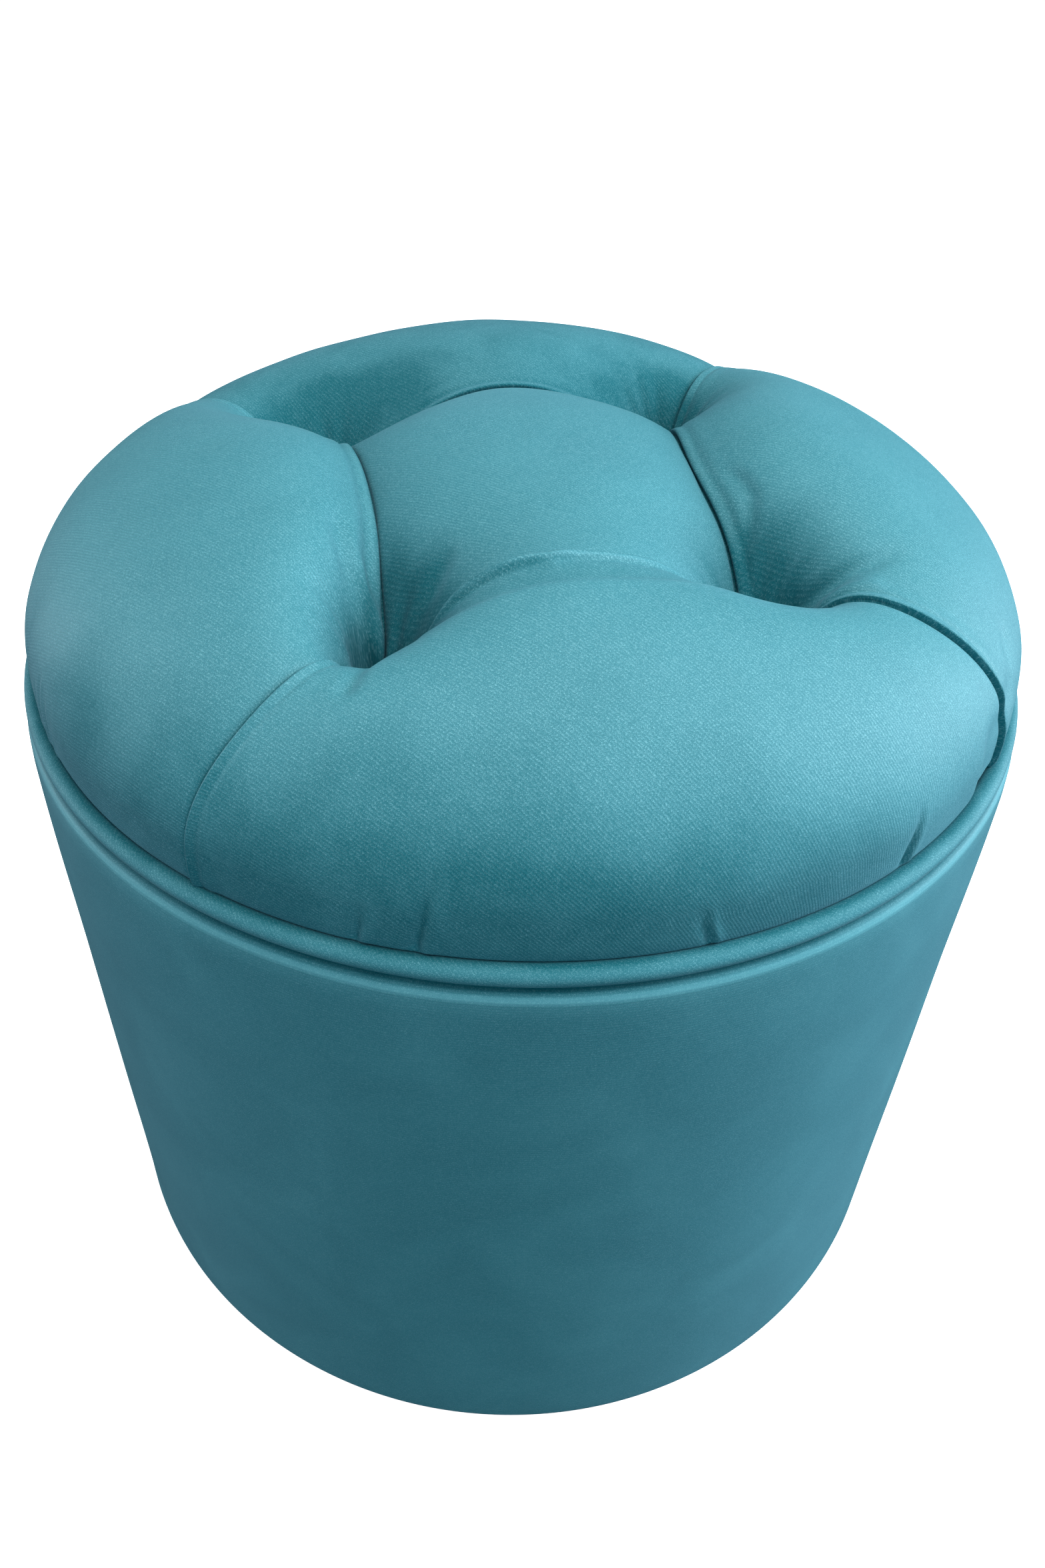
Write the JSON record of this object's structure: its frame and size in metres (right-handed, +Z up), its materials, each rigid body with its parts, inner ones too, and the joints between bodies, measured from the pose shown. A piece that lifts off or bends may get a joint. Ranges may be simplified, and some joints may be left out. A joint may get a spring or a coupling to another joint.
{
  "type": "pouf",
  "caption": "Round upholstered pouf: straight velvet drum with a piped seam below a domed, deep-tufted seat.",
  "frame": {"origin": "on the floor under the middle of the drum", "axes": "+Z up; -Y towards the viewer in the picture; +X to the viewer's right; the band's vertical seam and the slit in its hardboard lie at +Y"},
  "size_m": [0.4, 0.4, 0.3924],
  "materials": {
    "velvet": "teal velvet with a short pile and a fine rib",
    "foam": "cut polyurethane foam",
    "wadding": "polyester fleece",
    "hardboard": "smooth brown hardboard",
    "plywood": "sanded plywood",
    "pine": "sawn pine",
    "dust_cloth": "spunbonded cloth",
    "cord": "braided cotton",
    "twine": "waxed twine",
    "steel": "zinc plated",
    "plastic": "moulded, matt"
  },
  "bodies": {
    "root": {"base_ring": "plywood", "base_screw_1": "steel", "base_screw_2": "steel", "base_screw_3": "steel", "base_screw_4": "steel", "base_screw_5": "steel", "base_screw_6": "steel", "batten_1": "pine", "batten_2": "pine", "batten_3": "pine", "batten_4": "pine", "batten_5": "pine", "batten_6": "pine", "dust_cover": "dust_cloth", "glide_1": "plastic", "glide_2": "plastic", "glide_3": "plastic", "glide_4": "plastic", "glide_screw_1": "steel", "glide_screw_2": "steel", "glide_screw_3": "steel", "glide_screw_4": "steel", "piping_cord": "cord", "piping_sleeve": "velvet", "seat_board": "plywood", "seat_cover": "velvet", "seat_foam": "foam", "seat_screw_1": "steel", "seat_screw_2": "steel", "seat_screw_3": "steel", "seat_screw_4": "steel", "seat_screw_5": "steel", "seat_screw_6": "steel", "seat_wadding": "wadding", "side_band": "velvet", "side_foam": "foam", "side_wrap": "hardboard", "tuft_button_1": "velvet", "tuft_button_2": "velvet", "tuft_button_3": "velvet", "tuft_button_4": "velvet", "tuft_disc_1": "plastic", "tuft_disc_2": "plastic", "tuft_disc_3": "plastic", "tuft_disc_4": "plastic", "tuft_twine_1": "twine", "tuft_twine_2": "twine", "tuft_twine_3": "twine", "tuft_twine_4": "twine"}
  },
  "joints": []
}
